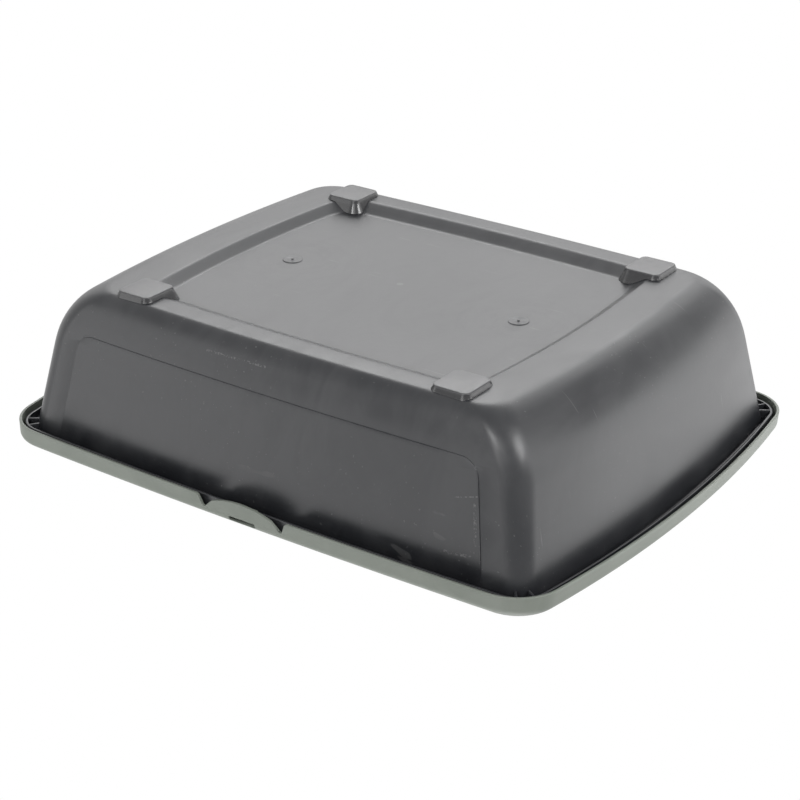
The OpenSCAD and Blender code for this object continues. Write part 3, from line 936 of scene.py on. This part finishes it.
    def hook(self) -> bpy.types.Object:
        """Build the wedge that catches under the tray's lip."""
        bpy.ops.object.select_all(action="DESELECT")
        top = self.tray.lip_edge - self.hook_gap
        outer = self.front - self.rim_t / 2
        inner = self.tray.lip.half_w + self.hook_gap
        middle = Vector((0, -(outer + inner) / 2, top - self.hook_h / 2)) * MM
        bpy.ops.mesh.primitive_cube_add(
            size=MM, location=middle,
            scale=(self.window_w, outer - inner, self.hook_h))
        hook = bpy.context.object
        bpy.ops.object.transform_apply(location=True, rotation=False, scale=True)
        Bench.edit(hook)
        mesh = bmesh.from_edit_mesh(hook.data)
        for vertex in mesh.verts:
            vertex.select = vertex.co.z < middle.z and vertex.co.y > middle.y
        bmesh.update_edit_mesh(hook.data)
        bpy.ops.transform.translate(value=(0, 0, self.hook_h / 2 * MM))
        Bench.close()
        return hook

    def build(self) -> list[bpy.types.Object]:
        """Build the rim, the front tab and the rear tab."""
        front = self.tab()
        return [self.main(), front, Bench.mirrored(front, "rear_tab", False, True)]


@dataclass
class Foot:
    """A black pad bonded over the ridge at one corner of the underside."""

    tray: Tray
    end_in: float = 36.3
    side_in: float = 15.8
    length: float = 27.2
    width: float = 29.2
    corner_r: float = 4.5
    flare: float = 4.4
    face_round: float = 0.9
    gap: float = 0.15
    side_bow: float = 0.05
    tool_h: float = 16.0
    face_steps: int = 5
    flare_steps: int = 3

    def __post_init__(self) -> None:
        """Work out where the foot's middle lies."""
        self.middle = (self.tray.ground.half_l - self.end_in, self.tray.ground.half_w - self.side_in)

    def block(self) -> bpy.types.Object:
        """Build the pad's body, tall enough to reach into the tray."""
        face = Outline.bowed(self.length, self.width, self.side_bow, self.side_bow, self.corner_r)
        radius = self.face_round
        top = self.tray.recess_h
        sections = rounded(face, 0, radius, radius, self.face_steps, True)
        sections += [(face.inset(-self.flare * share), mix(radius, top, share))
                     for share in shares(self.flare_steps)[1:]]
        return Loft("foot_block", sections, Ends.CAPPED, Steps.PLAIN, self.middle).build()

    def underside_tool(self) -> bpy.types.Object:
        """Build the solid above the tray's underside, which the pad is fitted to, turn and all."""
        tray = self.tray
        turn = [(tray.wall(z), z - self.gap) for z in tray.turn_heights(tray.ridge_h, 0) if z < self.tool_h]
        return Loft("underside_tool", tray.slope_sections(-self.gap) + turn).build()

    def build(self) -> bpy.types.Object:
        """Build the foot at the right of the rear."""
        foot = self.block()
        Bench.cut(foot, self.underside_tool())
        Bench.heal(foot)
        Bench.smooth(foot)
        return foot


class Signal:
    """A value on its way through a material: Python's own signs add Math nodes to it."""

    def __init__(self, bench: "NodeBench", socket: bpy.types.NodeSocket) -> None:
        """Wrap an output socket."""
        self.bench = bench
        self.socket = socket

    def math(self, operation: str, first: object, second: object) -> "Signal":
        """Add a Math node and return its value."""
        return self.bench.node("ShaderNodeMath", {"operation": operation}, {0: first, 1: second})

    def __add__(self, other: object) -> "Signal":
        """Return the sum."""
        return self.math("ADD", self, other)

    def __radd__(self, other: object) -> "Signal":
        """Return the sum, with a plain number first."""
        return self.math("ADD", other, self)

    def __sub__(self, other: object) -> "Signal":
        """Return the difference."""
        return self.math("SUBTRACT", self, other)

    def __rsub__(self, other: object) -> "Signal":
        """Return the difference, with a plain number first."""
        return self.math("SUBTRACT", other, self)

    def __mul__(self, other: object) -> "Signal":
        """Return the product."""
        return self.math("MULTIPLY", self, other)

    def __rmul__(self, other: object) -> "Signal":
        """Return the product, with a plain number first."""
        return self.math("MULTIPLY", other, self)

    def most(self, other: object) -> "Signal":
        """Return the larger of two values."""
        return self.math("MAXIMUM", self, other)


class NodeBench:
    """Makes the nodes of one tree and joins them up."""

    def __init__(self, tree: bpy.types.NodeTree) -> None:
        """Start on a tree."""
        self.tree = tree

    def node(self, kind: str, settings: dict[str, object] | None = None,
             inputs: dict[int | str, object] | None = None, output: int | str = 0) -> Signal:
        """Add a node.

        Args:
            kind: the node's type.
            settings: its properties, which are set first.
            inputs: the values or links of its sockets, by number or name.
            output: the socket that is wanted, by number or name.

        Returns:
            The wanted output.
        """
        node = self.tree.nodes.new(kind)
        for name, value in (settings or {}).items():
            setattr(node, name, value)
        for key, value in (inputs or {}).items():
            self.plug(value, node.inputs[key])
        return Signal(self, node.outputs[output])

    def plug(self, value: object, socket: bpy.types.NodeSocket) -> None:
        """Link a signal to a socket, or set the socket to a plain value."""
        if isinstance(value, Signal):
            self.tree.links.new(value.socket, socket)
        else:
            socket.default_value = value

    def place(self) -> Signal:
        """Return the point's own place on the piece, in metres."""
        return self.node("ShaderNodeTexCoord", output="Object")

    def stretched(self, place: Signal, scale: tuple[float, float, float],
                  turn: tuple[float, float, float] = (0, 0, 0),
                  shift: tuple[float, float, float] = (0, 0, 0)) -> Signal:
        """Return a place that is turned, scaled and shifted for a pattern."""
        return self.node("ShaderNodeMapping", {"vector_type": "POINT"},
                         {"Vector": place, "Location": shift, "Rotation": turn, "Scale": scale})

    def noise(self, place: Signal, cloud: "Cloud") -> Signal:
        """Return a cloudy pattern from 0 to 1."""
        return self.node("ShaderNodeTexNoise", None,
                         {"Vector": place, "Scale": cloud.scale, "Detail": cloud.detail,
                          "Roughness": cloud.rough, "Distortion": cloud.swirl})

    def ramp(self, value: Signal, low: float, high: float, start: float = 0.0,
             end: float = 1.0) -> Signal:
        """Return a value eased from start to end as it passes from low to high."""
        return self.node("ShaderNodeMapRange", {"interpolation_type": "SMOOTHSTEP"},
                         {"Value": value, "From Min": low, "From Max": high,
                          "To Min": start, "To Max": end})

    def blend(self, share: Signal, first: object, second: object) -> Signal:
        """Return a colour between two."""
        return self.node("ShaderNodeMix", {"data_type": "RGBA", "clamp_factor": True},
                         {0: share, 6: first, 7: second}, 2)

    def vector(self, operation: str, first: object, second: object = (0, 0, 0),
               output: int | str = 0) -> Signal:
        """Add a Vector Math node and return the wanted output."""
        return self.node("ShaderNodeVectorMath", {"operation": operation}, {0: first, 1: second}, output)

    def distance(self, place: Signal, point: object) -> Signal:
        """Return how far the place is from a point, in metres."""
        return self.vector("DISTANCE", place, point, "Value")

    def stroke(self, place: Signal, start: tuple[float, float, float], end: tuple[float, float, float],
               width: float) -> Signal:
        """Return a straight mark.

        Args:
            place: the point's place.
            start: one end of the mark, in metres.
            end: its other end.
            width: how far from the line between them the mark fades out.

        Returns:
            1 on the line, 0 away from it.
        """
        run = Vector(end) - Vector(start)
        away = self.vector("SUBTRACT", place, start)
        reach = self.vector("DOT_PRODUCT", away, run, "Value")
        share = self.node("ShaderNodeMath", {"operation": "MULTIPLY", "use_clamp": True},
                          {0: reach, 1: 1 / run.length_squared})
        foot = self.node("ShaderNodeVectorMath", {"operation": "SCALE"}, {0: run, "Scale": share})
        return self.ramp(self.distance(away, foot), width / 3, width, 1, 0)

    def height(self, place: Signal) -> Signal:
        """Return the place's height, in metres."""
        return self.node("ShaderNodeSeparateXYZ", None, {0: place}, "Z")

    def grained(self, place: Signal, grains: tuple["Grain", ...]) -> Signal:
        """Return the normal of a surface with moulded textures, one over the other.

        Args:
            place: the point's place.
            grains: the textures, from the lowest up.

        Returns:
            The normal.
        """
        normal: Signal | None = None
        for grain in grains:
            inputs: dict[int | str, object] = {
                "Height": self.noise(place, grain.cloud), "Strength": grain.strength,
                "Distance": grain.depth}
            if normal is not None:
                inputs["Normal"] = normal
            normal = self.node("ShaderNodeBump", None, inputs)
        return normal


Colour = tuple[float, float, float, float]
Point = tuple[float, float, float]


@dataclass(frozen=True)
class Cloud:
    """A cloudy pattern: its clouds to the metre, its layers of detail, how rough they are, its swirl."""

    scale: float
    detail: float = 2.0
    rough: float = 0.5
    swirl: float = 0.0


@dataclass(frozen=True)
class Grain:
    """A moulded texture: its pattern, its strength and its depth in metres."""

    cloud: Cloud
    strength: float
    depth: float


@dataclass(frozen=True)
class Finish:
    """A finish: a material with a name, a colour, a lighter colour for its clouds, gloss and grain."""

    name: str
    colour: Colour
    cloud_colour: Colour
    roughness: float
    specular: float
    clouds: Cloud
    grains: tuple[Grain, ...]

    def material(self) -> bpy.types.Material:
        """Make the material.

        Returns:
            The material, ready for a piece's slot.
        """
        material = bpy.data.materials.new(self.name)
        material.use_nodes = True
        bench = NodeBench(material.node_tree)
        inputs = material.node_tree.nodes["Principled BSDF"].inputs
        inputs["Specular IOR Level"].default_value = self.specular
        place = bench.place()
        self.paint(bench, place, inputs)
        bench.plug(bench.grained(place, self.grains), inputs["Normal"])
        return material

    def paint(self, bench: NodeBench, place: Signal, inputs: bpy.types.NodeInputs) -> None:
        """Set the colour and the roughness; each kind of finish has its own."""
        raise NotImplementedError


@dataclass(frozen=True)
class BlackPolypropylene(Finish):
    """The tray's satin black plastic: fine grain, flow clouds round the gates, dust, scuffs, scratches.

    gate and ejector are places under the floor, strokes holds the scuffs' ends and widths, and scratches
    holds the turn and the shift of each set of scratches. All lengths are in metres.
    """

    name: str = "black_polypropylene"
    colour: Colour = (0.017, 0.018, 0.021, 1)
    cloud_colour: Colour = (0.030, 0.031, 0.034, 1)
    dust_colour: Colour = (0.16, 0.16, 0.16, 1)
    roughness: float = 0.34
    specular: float = 0.5
    clouds: Cloud = Cloud(11, 4, 0.55, 1.6)
    grains: tuple[Grain, ...] = (
        Grain(Cloud(1500, 2, 0.6), 0.22, 0.00010), Grain(Cloud(160, 2, 0.5), 0.10, 0.00030))
    specks: Cloud = Cloud(520, 1, 0.4)
    drifts: Cloud = Cloud(15, 2, 0.5)
    loose_flow: Cloud = Cloud(1, 3, 0.6, 2.2)
    flow_stretch: Point = (26, 9, 14)
    swirl_flow: Cloud = Cloud(1.3, 3, 0.6, 0.9)
    swirl_rings: float = 110
    swirl_reach: tuple[float, float] = (0.012, 0.09)
    swirl_share: float = 1.4
    gate: Point = (0.095, 0.0, 0.0094)
    ejector: Point = (0.0065, 0.0072, 0.0094)
    ejector_rs: tuple[float, float] = (0.0018, 0.0027)
    dots: Cloud = Cloud(640, 2, 0.6)
    strokes: tuple[tuple[Point, Point, float], ...] = (
        ((0.0512, -0.1463, 0.0154), (0.003, -0.1462, 0.0147), 0.0011),
        ((-0.1639, -0.1549, 0.0581), (-0.1673, -0.1592, 0.0825), 0.0015),
        ((-0.1437, -0.1620, 0.0925), (-0.1649, -0.1609, 0.0909), 0.0014),
        ((-0.1497, -0.1553, 0.0570), (-0.1652, -0.1539, 0.0527), 0.0006))
    scratches: tuple[tuple[float, float], ...] = ((0.5, 0.0), (-0.9, 3.1), (1.7, 7.7))
    scratch_stretch: Point = (30, 420, 30)
    scratch_lines: Cloud = Cloud(1, 2, 0.4)
    scratch_places: Cloud = Cloud(21, 1)

    def paint(self, bench: NodeBench, place: Signal, inputs: bpy.types.NodeInputs) -> None:
        """Set the colour and the roughness."""
        flow = self.flow(bench, place)
        cloudy = bench.ramp(bench.noise(place, self.clouds) * 0.55 + flow * 0.45, 0.36, 0.66)
        specks = bench.ramp(bench.noise(place, self.specks), 0.73, 0.77)
        dust = specks * bench.ramp(bench.noise(place, self.drifts), 0.42, 0.62)
        worn = self.scuffed(bench, place).most(self.scratched(bench, place) * 0.45)
        base = bench.blend(cloudy, self.colour, self.cloud_colour)
        bench.plug(bench.blend(worn * 0.6 + dust * 0.55, base, self.dust_colour), inputs["Base Color"])
        rough = self.roughness + (flow - 0.5) * 0.10 + (cloudy - 0.5) * 0.05 + worn * 0.15 + dust * 0.25
        bench.plug(rough, inputs["Roughness"])

    def flow(self, bench: NodeBench, place: Signal) -> Signal:
        """Return the swirls that the melt left round the gates, and loose clouds away from them."""
        loose = bench.noise(bench.stretched(place, self.flow_stretch, (0, 0, 0.5)), self.loose_flow)
        swirls = self.swirl(bench, place, -1) + self.swirl(bench, place, 1)
        return loose + swirls * self.swirl_share

    def swirl(self, bench: NodeBench, place: Signal, side: int) -> Signal:
        """Return the swirl round the left gate, side -1, or the right one, side 1."""
        gate = (side * self.gate[0], self.gate[1], self.gate[2])
        far = bench.distance(place, gate)
        way = bench.vector("NORMALIZE", bench.vector("SUBTRACT", place, gate))
        rings = bench.node("ShaderNodeCombineXYZ", None, {2: far * self.swirl_rings})
        clouds = bench.noise(bench.vector("ADD", way, rings), self.swirl_flow)
        return (clouds - 0.5) * bench.ramp(far, *self.swirl_reach, 1, 0)

    def scuffed(self, bench: NodeBench, place: Signal) -> Signal:
        """Return the dotted scuffs of the front wall and the ejector mark, from 0 to 1."""
        dots = bench.ramp(bench.noise(place, self.dots), 0.47, 0.60)
        marks = bench.ramp(bench.distance(place, self.ejector), *self.ejector_rs, 0.7, 0)
        for start, end, width in self.strokes:
            marks = marks.most(bench.stroke(place, start, end, width) * dots)
        return marks

    def scratched(self, bench: NodeBench, place: Signal) -> Signal:
        """Return the short thin scratches of handling, from 0 to 1."""
        marks: Signal | None = None
        for turn, shift in self.scratches:
            drawn = bench.stretched(place, self.scratch_stretch, (0.3 * turn, 0.2, turn),
                                    (shift, shift, shift))
            thin = bench.ramp(bench.noise(drawn, self.scratch_lines), 0.72, 0.745)
            moved = bench.stretched(place, (1, 1, 1), shift=(shift, 0, shift))
            mark = thin * bench.ramp(bench.noise(moved, self.scratch_places), 0.56, 0.64)
            marks = mark if marks is None else marks.most(mark)
        return marks


@dataclass(frozen=True)
class GreyGreenPolypropylene(Finish):
    """The rim's satin grey-green plastic."""

    name: str = "grey_green_polypropylene"
    colour: Colour = (0.192, 0.212, 0.184, 1)
    cloud_colour: Colour = (0.226, 0.246, 0.216, 1)
    roughness: float = 0.46
    specular: float = 0.5
    clouds: Cloud = Cloud(24, 4, 0.6, 0.8)
    grains: tuple[Grain, ...] = (
        Grain(Cloud(1300, 2, 0.6), 0.2, 0.00010), Grain(Cloud(170, 2), 0.10, 0.00030))

    def paint(self, bench: NodeBench, place: Signal, inputs: bpy.types.NodeInputs) -> None:
        """Set the colour and the roughness."""
        clouds = bench.noise(place, self.clouds)
        cloudy = bench.ramp(clouds, 0.3, 0.7)
        bench.plug(bench.blend(cloudy, self.colour, self.cloud_colour), inputs["Base Color"])
        bench.plug(self.roughness + (clouds - 0.5) * 0.12, inputs["Roughness"])


@dataclass(frozen=True)
class FootPlastic(Finish):
    """The feet's softer, smoother black plastic, duller on the face that stands on the floor.

    face_edge holds the heights between which the face's painted sheen, a lighter colour, and its duller
    gloss fade out, in metres.
    """

    name: str = "foot_plastic"
    colour: Colour = (0.010, 0.010, 0.012, 1)
    cloud_colour: Colour = (0.018, 0.018, 0.020, 1)
    # the face's lighter colour is a painted sheen
    face_sheen_colour: Colour = (0.045, 0.045, 0.048, 1)
    roughness: float = 0.22
    specular: float = 0.6
    clouds: Cloud = Cloud(160, 4, 0.6)
    grains: tuple[Grain, ...] = (Grain(Cloud(1400, 2, 0.6), 0.2, 0.00008),)
    face_edge: tuple[float, float] = (0.0004, 0.0010)

    def paint(self, bench: NodeBench, place: Signal, inputs: bpy.types.NodeInputs) -> None:
        """Set the colour and the roughness."""
        face = bench.ramp(bench.height(place), *self.face_edge, 1, 0)
        clouds = bench.noise(place, self.clouds)
        sides = bench.blend(bench.ramp(clouds, 0.3, 0.7), self.colour, self.cloud_colour)
        # the face is painted lighter as a painted sheen; its added roughness is the face's own duller gloss
        bench.plug(bench.blend(face, sides, self.face_sheen_colour), inputs["Base Color"])
        bench.plug(self.roughness + face * 0.14 + (clouds - 0.5) * 0.1, inputs["Roughness"])


@dataclass(frozen=True)
class SoftBox:
    """A square soft lamp, in metres: where it stands, what it faces, its side and its power."""

    name: str
    place: Point
    target: Point
    side: float
    watts: float

    def build(self) -> None:
        """Put the lamp up."""
        data = bpy.data.lights.new(self.name, "AREA")
        data.shape = "SQUARE"
        data.size = self.side
        data.energy = self.watts
        lamp = bpy.data.objects.new(self.name, data)
        bpy.context.scene.collection.objects.link(lamp)
        place = Vector(self.place)
        turn = (place - Vector(self.target)).to_track_quat("Z", "Y")
        lamp.matrix_world = Matrix.Translation(place) @ turn.to_matrix().to_4x4()


@dataclass
class Studio:
    """The plain studio: a pale floor, a white surround, soft lamps and the camera, in metres.

    The floor shows only from above. Seen from below, and to light, it isn't there, so that the lamps
    under it reach the underside. ring holds the small lamps round the object: direction about the
    upright axis and height above the object, both in degrees, side, and power in watts.
    """

    floor_side: float = 8.0
    floor_colour: Colour = (0.80, 0.80, 0.80, 1)
    ambient: float = 0.10
    ring: tuple[tuple[float, float, float, float], ...] = (
        (45.0, -38.0, 0.75, 7.0), (67.5, -38.0, 0.75, 6.8), (90.0, -38.0, 0.75, 3.4),
        (180.0, -38.0, 0.75, 25.0), (247.5, -38.0, 0.75, 4.0), (270.0, -38.0, 0.5, 10.0),
        (22.5, -18.0, 0.75, 0.8), (45.0, -18.0, 0.75, 1.2), (67.5, -18.0, 0.75, 1.4),
        (90.0, -18.0, 0.75, 1.9), (157.5, -18.0, 0.75, 5.1), (270.0, -18.0, 0.75, 5.0),
        (315.0, -18.0, 0.75, 2.9), (112.5, 2.0, 0.75, 2.6), (135.0, 2.0, 0.75, 3.9),
        (157.5, 2.0, 0.75, 1.3), (292.5, 2.0, 0.75, 1.9), (315.0, 2.0, 0.75, 2.9),
        (112.5, 22.0, 0.75, 2.2), (135.0, 22.0, 0.75, 3.4), (157.5, 22.0, 0.75, 3.4),
        (270.0, 22.0, 0.75, 3.6), (292.5, 22.0, 0.75, 1.6), (315.0, 22.0, 0.75, 2.4))
    ring_r: float = 2.2
    ring_z: float = 0.05
    top_lamp: SoftBox = SoftBox("top_lamp", (-0.3, -0.5, 2.1), (0, 0, 0.1), 1.8, 30)
    camera_place: Point = (-0.75904, -1.07435, -0.53156)
    camera_right: Point = (-0.81552, 0.57870, -0.0028375)
    camera_up: Point = (0.25046, 0.34859, -0.9032)
    lens_mm: float = 93.05
    sensor_mm: float = 36.0
    clip_start: float = 0.01

    def build(self) -> None:
        """Set up everything that isn't part of the object."""
        self.floor()
        self.world()
        self.top_lamp.build()
        for number, (turn, rise, side, watts) in enumerate(self.ring):
            self.small_lamp(number, turn, rise, side, watts).build()
        self.camera()
        bpy.context.scene.view_settings.view_transform = "Standard"

    def small_lamp(self, number: int, turn: float, rise: float, side: float, watts: float) -> SoftBox:
        """Return a lamp of the ring.

        Args:
            number: its place in the ring's list.
            turn: its direction from the object about the upright axis, in degrees.
            rise: its height above the object's middle, in degrees.
            side: its side, in metres.
            watts: its power.

        Returns:
            The lamp, turned to the object.
        """
        level = self.ring_r * math.cos(math.radians(rise))
        place = (level * math.cos(math.radians(turn)), level * math.sin(math.radians(turn)),
                 self.ring_r * math.sin(math.radians(rise)) + self.ring_z)
        return SoftBox(f"ring_lamp_{number:02d}", place, (0, 0, self.ring_z), side, watts)

    def floor(self) -> None:
        """Lay the floor that the feet stand on."""
        bpy.ops.object.select_all(action="DESELECT")
        bpy.ops.mesh.primitive_plane_add(size=self.floor_side, location=(0, 0, 0))
        floor = bpy.context.object
        floor.name = "studio_floor"
        material = bpy.data.materials.new("studio_floor")
        material.use_nodes = True
        bench = NodeBench(material.node_tree)
        seen = bench.node("ShaderNodeLightPath", output="Is Camera Ray")
        from_above = 1 - bench.node("ShaderNodeNewGeometry", output="Backfacing")
        clear = bench.node("ShaderNodeBsdfTransparent")
        solid = bench.node("ShaderNodeBsdfDiffuse", None, {"Color": self.floor_colour})
        mixed = bench.node("ShaderNodeMixShader", None, {0: seen * from_above, 1: clear, 2: solid})
        bench.plug(mixed, material.node_tree.nodes["Material Output"].inputs["Surface"])
        floor.data.materials.append(material)

    def world(self) -> None:
        """Make the surround white to the camera and in gloss, and softer as a light."""
        world = bpy.data.worlds.new("studio_surround")
        bpy.context.scene.world = world
        world.use_nodes = True
        bench = NodeBench(world.node_tree)
        camera = bench.node("ShaderNodeLightPath", output="Is Camera Ray")
        outputs = camera.socket.node.outputs
        seen = camera.most(Signal(bench, outputs["Is Glossy Ray"])).most(
            Signal(bench, outputs["Is Transmission Ray"]))
        background = world.node_tree.nodes["Background"]
        background.inputs["Color"].default_value = (1, 1, 1, 1)
        bench.plug(self.ambient + seen * (1 - self.ambient), background.inputs["Strength"])

    def camera(self) -> None:
        """Place the camera at the photograph's viewing angle."""
        data = bpy.data.cameras.new("camera")
        data.lens = self.lens_mm
        data.sensor_width = self.sensor_mm
        data.clip_start = self.clip_start
        camera = bpy.data.objects.new("camera", data)
        bpy.context.scene.collection.objects.link(camera)
        right, up = Vector(self.camera_right), Vector(self.camera_up)
        turn = Matrix((right, up, right.cross(up))).transposed().to_4x4()
        camera.matrix_world = Matrix.Translation(Vector(self.camera_place)) @ turn
        bpy.context.scene.camera = camera


def dress(piece: bpy.types.Object, material: bpy.types.Material) -> None:
    """Give a piece its material and log how many faces it has."""
    piece.data.materials.clear()
    piece.data.materials.append(material)
    log.info("%s: %d faces", piece.name, len(piece.data.polygons))


def build_tray(tray: Tray) -> None:
    """Build the tray's pieces and let them ride on the tray."""
    black = BlackPolypropylene().material()
    pieces = tray.build()
    for piece in pieces:
        dress(piece, black)
        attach(piece, "tray")
    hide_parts("tray")


def build_rim(rim: Rim) -> None:
    """Build the rim and its tabs, and hide the parts of the imported model that they replace."""
    grey = GreyGreenPolypropylene().material()
    main, front, rear = rim.build()
    for piece in (main, front, rear):
        dress(piece, grey)
    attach(main, "rim")
    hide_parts("rim")
    for tab, clip, side in ((front, "front_clip", -1), (rear, "rear_clip", 1)):
        y = side * rim.front * MM
        rim.root_z * MM
        (rim.root_z - 2) * MM
        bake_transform(tab)
        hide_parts(clip)


def build_feet(foot: Foot) -> None:
    """Build one foot and copy it to the other corners."""
    plastic = FootPlastic().material()
    first = foot.build()
    first.name = "pad_rear_right"
    first.data.name = first.name
    feet = {"foot_rear_right": first,
            "foot_rear_left": Bench.mirrored(first, "pad_rear_left", True, False),
            "foot_front_right": Bench.mirrored(first, "pad_front_right", False, True),
            "foot_front_left": Bench.mirrored(first, "pad_front_left", True, True)}
    for node, piece in feet.items():
        dress(piece, plastic)
        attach(piece, "tray")
        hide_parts(node)


def main() -> None:
    """Build the object and its studio."""
    logging.basicConfig(level=logging.INFO, format="%(name)s: %(message)s")
    tray = Tray()
    build_tray(tray)
    build_rim(Rim(tray))
    build_feet(Foot(tray))
    Studio().build()
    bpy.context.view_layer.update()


if __name__ == "__main__":
    main()
